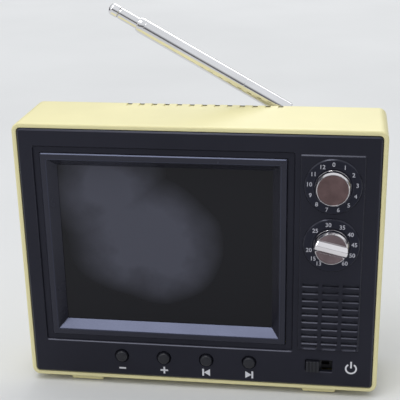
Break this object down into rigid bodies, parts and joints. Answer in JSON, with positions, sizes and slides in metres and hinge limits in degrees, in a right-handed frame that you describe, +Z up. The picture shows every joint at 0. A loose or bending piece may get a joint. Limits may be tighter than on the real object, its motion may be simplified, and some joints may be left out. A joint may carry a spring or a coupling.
{
  "type": "portable television",
  "caption": "Compact portable television with a recessed flat screen, two tuner knobs, speaker slots, push buttons, a slide switch and a telescopic antenna.",
  "frame": {"origin": "on the surface the set stands on, under the middle of its overall width and of its depth from the tuning knob's front to the antenna's back", "axes": "+Z up, the screen and controls face -Y, +X to the right of someone facing the screen"},
  "size_m": [0.19, 0.0672, 0.2005],
  "materials": {
    "case_yellow": "satin pale cream yellow moulded plastic",
    "fascia_black": "satin blue-black moulded plastic",
    "button_black": "satin black plastic",
    "lens": "clear glossy front window over a dark screen",
    "lcd": "dark liquid crystal cell",
    "chrome": "polished chrome plate",
    "spun_disc": "spun metal disc, brownish",
    "steel": "plain plated steel",
    "board": "green circuit board",
    "chip": "black moulded component",
    "dial": "satin black dial plate with white numerals",
    "cone": "pressed paper speaker cone",
    "cloth": "fine woven speaker cloth",
    "magnet": "plated ferrite magnet",
    "rubber": "dark grey rubber",
    "battery": "shrink-wrapped battery pack",
    "ribbon": "flexible flat cable"
  },
  "bodies": {
    "set": {"rear_housing": "case_yellow", "front_fascia": "fascia_black", "case_screw_1": "steel", "case_screw_2": "steel", "case_screw_3": "steel", "case_screw_4": "steel", "foot_pad_front_left": "rubber", "foot_pad_front_right": "rubber", "foot_pad_rear_left": "rubber", "foot_pad_rear_right": "rubber", "screen_surround": "fascia_black", "screen_lens": "lens", "lcd_cell": "lcd", "lcd_backlight_tray": "steel", "lcd_bracket_left": "steel", "lcd_bracket_right": "steel", "lcd_ribbon": "ribbon", "speaker_cloth": "cloth", "speaker_basket": "steel", "speaker_cone": "cone", "speaker_magnet": "magnet", "main_board": "board", "tuner_can": "steel", "video_chip": "chip", "battery_pack": "battery", "charging_socket": "steel", "av_jack": "chip", "button_board": "board", "tact_switch_minus": "chip", "tact_switch_plus": "chip", "tact_switch_previous": "chip", "tact_switch_next": "chip", "power_switch": "chip", "channel_dial_plate": "dial", "channel_nut": "steel", "channel_switch": "steel", "tuning_dial_plate": "dial", "tuning_nut": "steel", "tuning_potentiometer": "steel"},
    "channel_knob": {"channel_knob": "chrome", "channel_knob_disc": "spun_disc", "channel_shaft": "steel"},
    "tuning_knob": {"tuning_knob": "chrome", "tuning_disc_upper": "spun_disc", "tuning_disc_lower": "spun_disc", "tuning_shaft": "steel"},
    "button_minus": {"button_minus": "button_black"},
    "button_plus": {"button_plus": "button_black"},
    "button_previous": {"button_previous": "button_black"},
    "button_next": {"button_next": "button_black"},
    "power_slider": {"power_slider": "button_black"},
    "antenna_swivel": {"antenna_swivel": "chrome", "antenna_swivel_screw": "steel", "antenna_pivot_pin": "chrome"},
    "antenna_outer": {"antenna_section_1": "chrome"},
    "antenna_second": {"antenna_section_2": "chrome"},
    "antenna_third": {"antenna_section_3": "chrome"},
    "antenna_rod": {"antenna_section_4": "chrome", "antenna_tip": "chrome"}
  },
  "joints": [
    {"name": "channel_knob_turn", "type": "hinge", "parent": "set", "child": "channel_knob", "pos_m": [0.0687, -0.02845, 0.1199], "axis": [0, 1, 0], "continuous": true},
    {"name": "tuning_knob_turn", "type": "hinge", "parent": "set", "child": "tuning_knob", "pos_m": [0.0687, -0.02845, 0.0885], "axis": [0, 1, 0], "range_deg": [-66, 218]},
    {"name": "button_minus_press", "type": "slide", "parent": "set", "child": "button_minus", "axis": [0, 1, 0], "range_m": [0, 0.0008], "stiffness_N_per_m": 800, "springref_m": -0.0005},
    {"name": "button_plus_press", "type": "slide", "parent": "set", "child": "button_plus", "axis": [0, 1, 0], "range_m": [0, 0.0008], "stiffness_N_per_m": 800, "springref_m": -0.0005},
    {"name": "button_previous_press", "type": "slide", "parent": "set", "child": "button_previous", "axis": [0, 1, 0], "range_m": [0, 0.0008], "stiffness_N_per_m": 800, "springref_m": -0.0005},
    {"name": "button_next_press", "type": "slide", "parent": "set", "child": "button_next", "axis": [0, 1, 0], "range_m": [0, 0.0008], "stiffness_N_per_m": 800, "springref_m": -0.0005},
    {"name": "power_slide", "type": "slide", "parent": "set", "child": "power_slider", "axis": [1, 0, 0], "range_m": [0, 0.0065]},
    {"name": "antenna_swivel_turn", "type": "hinge", "parent": "set", "child": "antenna_swivel", "pos_m": [0.05, 0.02935, 0.1397], "axis": [0, 1, 0], "range_deg": [-29, 150]},
    {"name": "antenna_tilt", "type": "hinge", "parent": "antenna_swivel", "child": "antenna_outer", "pos_m": [0.05, 0.02935, 0.1397], "axis": [-0.4939, 0, -0.8695], "range_deg": [0, 90]},
    {"name": "antenna_second_slide", "type": "slide", "parent": "antenna_outer", "child": "antenna_second", "axis": [-0.8695, 0, 0.4939], "range_m": [0, 0.072]},
    {"name": "antenna_third_slide", "type": "slide", "parent": "antenna_second", "child": "antenna_third", "axis": [-0.8695, 0, 0.4939], "range_m": [0, 0.063]},
    {"name": "antenna_rod_slide", "type": "slide", "parent": "antenna_third", "child": "antenna_rod", "axis": [-0.8695, 0, 0.4939], "range_m": [0, 0.065]}
  ]
}
